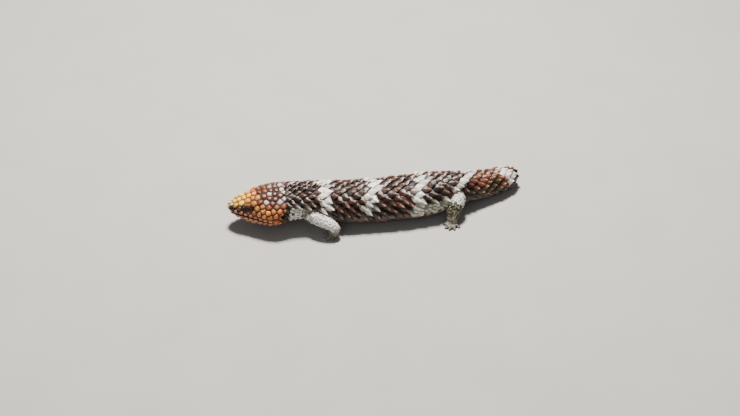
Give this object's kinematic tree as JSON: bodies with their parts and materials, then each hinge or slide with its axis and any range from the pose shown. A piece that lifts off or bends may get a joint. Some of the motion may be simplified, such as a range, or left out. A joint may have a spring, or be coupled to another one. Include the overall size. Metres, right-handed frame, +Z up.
{
  "type": "shingleback skink",
  "caption": "Life-size shingleback skink walking on its belly, with armoured back, broad head, blunt tail and short legs.",
  "frame": {"origin": "on the ground under the middle of the animal's outline", "axes": "+Z up; the head points to -X and the tail to +X; the animal's left side faces -Y"},
  "size_m": [0.3415, 0.1118, 0.0494],
  "materials": {
    "orange_horn": "rounded horn shields, satin",
    "brown_horn": "keeled horn scutes, satin",
    "cream_skin": "small smooth scales, satin",
    "olive_skin": "small smooth scales, satin",
    "eye": "wet gloss"
  },
  "bodies": {
    "root": {"head": "orange_horn", "lower_jaw": "orange_horn", "neck": "brown_horn", "torso": "brown_horn", "tail": "brown_horn", "foreleg_left": "cream_skin", "foreleg_right": "cream_skin", "forefoot_left": "cream_skin", "forefoot_right": "cream_skin", "hind_leg_left": "olive_skin", "hind_leg_right": "olive_skin", "hind_foot_left": "olive_skin", "hind_foot_right": "olive_skin", "eye_left": "eye", "eye_right": "eye"}
  },
  "joints": []
}
